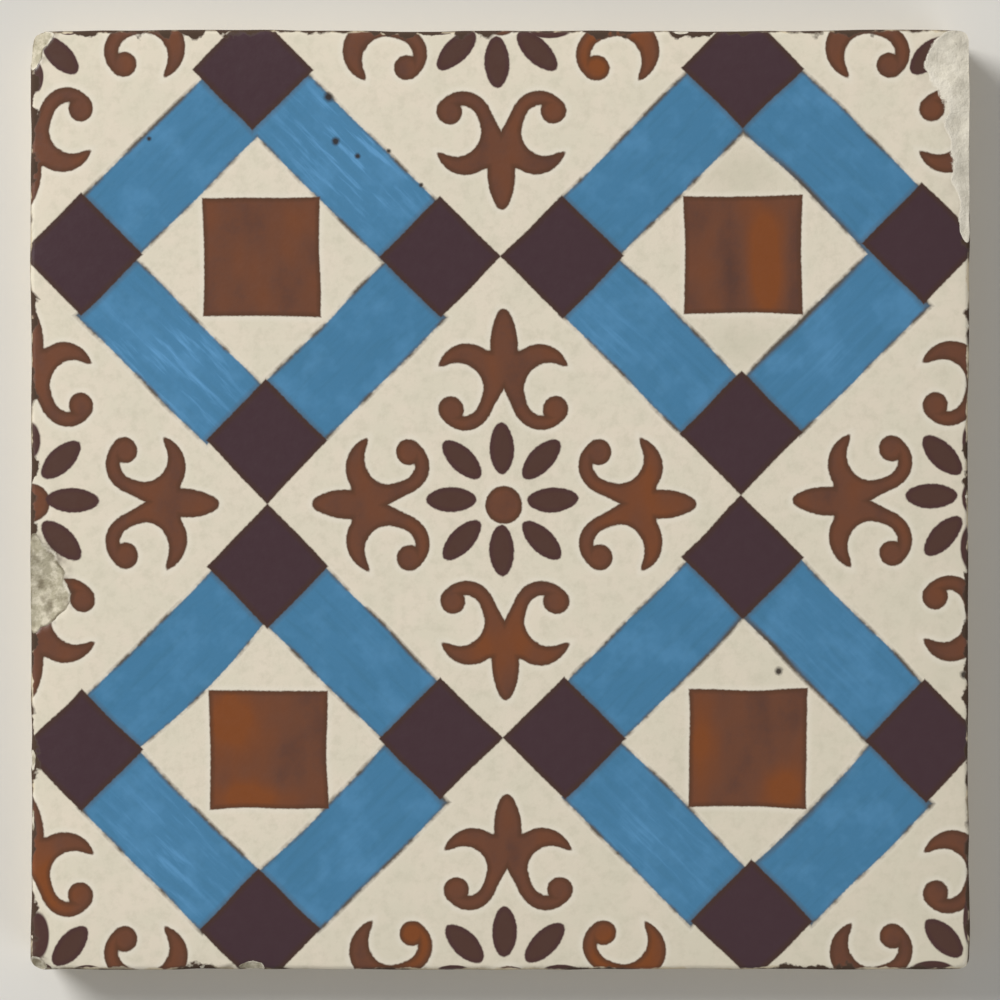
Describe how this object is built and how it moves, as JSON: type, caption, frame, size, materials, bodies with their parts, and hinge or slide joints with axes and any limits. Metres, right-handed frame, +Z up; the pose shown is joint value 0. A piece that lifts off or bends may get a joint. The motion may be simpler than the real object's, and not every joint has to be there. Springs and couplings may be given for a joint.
{
  "type": "floor tile",
  "caption": "Square glazed floor tile with a stencilled lattice-and-flower face, sides leaning in to a keyed back, and a rim worn and chipped by use.",
  "frame": {"origin": "centre of the back, on the plane that the tile is bedded on", "axes": "+Z up through the glazed face, +Y to the top edge of the pattern as pictured, +X to its right edge"},
  "size_m": [0.1998, 0.1998, 0.014],
  "materials": {
    "glazed_earthenware": "satin cream glaze, stencilled in blue, brown and purple-black, bare buff clay on the sides, back and knocks"
  },
  "bodies": {
    "root": {"floor_tile": "glazed_earthenware"}
  },
  "joints": []
}
